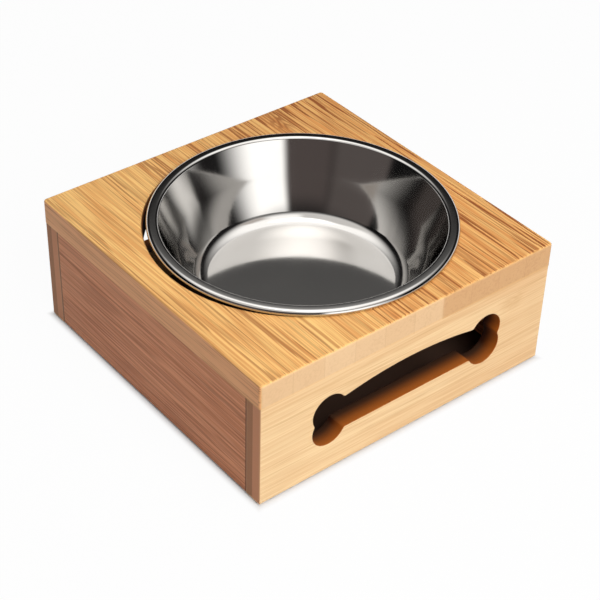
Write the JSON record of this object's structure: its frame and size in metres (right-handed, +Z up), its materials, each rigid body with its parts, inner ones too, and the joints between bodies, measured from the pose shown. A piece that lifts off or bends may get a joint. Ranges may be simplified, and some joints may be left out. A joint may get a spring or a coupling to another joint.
{
  "type": "pet bowl stand",
  "caption": "Square bamboo feeding stand with bone-shaped finger slots in front and back, and a loose polished steel bowl hanging in the round hole of its top.",
  "frame": {"origin": "bottom centre of the stand, on the surface that the foot pads rest on", "axes": "+Z up, X along the slotted front board, -Y out of the front board"},
  "size_m": [0.201, 0.201, 0.0853],
  "materials": {
    "bamboo": "laminated carbonised bamboo strips, sanded, satin clear lacquer",
    "dowel_wood": "bare turned hardwood",
    "pad_rubber": "matt self-adhesive anti-slip rubber",
    "bowl_steel": "mirror-polished stainless steel sheet"
  },
  "bodies": {
    "stand": {"top_board": "bamboo", "front_board": "bamboo", "back_board": "bamboo", "left_board": "bamboo", "right_board": "bamboo", "corner_dowel_front_left_low": "dowel_wood", "corner_dowel_front_left_high": "dowel_wood", "corner_dowel_front_right_low": "dowel_wood", "corner_dowel_front_right_high": "dowel_wood", "corner_dowel_back_left_low": "dowel_wood", "corner_dowel_back_left_high": "dowel_wood", "corner_dowel_back_right_low": "dowel_wood", "corner_dowel_back_right_high": "dowel_wood", "top_dowel_front_left": "dowel_wood", "top_dowel_front_right": "dowel_wood", "top_dowel_back_left": "dowel_wood", "top_dowel_back_right": "dowel_wood", "top_dowel_left_front": "dowel_wood", "top_dowel_right_front": "dowel_wood", "top_dowel_left_back": "dowel_wood", "top_dowel_right_back": "dowel_wood", "foot_pad_front_left": "pad_rubber", "foot_pad_front_right": "pad_rubber", "foot_pad_back_left": "pad_rubber", "foot_pad_back_right": "pad_rubber"},
    "bowl": {"bowl": "bowl_steel"}
  },
  "joints": [
    {"name": "bowl_lift", "type": "slide", "parent": "stand", "child": "bowl", "axis": [0, 0, 1], "range_m": [0, 0.08]}
  ]
}
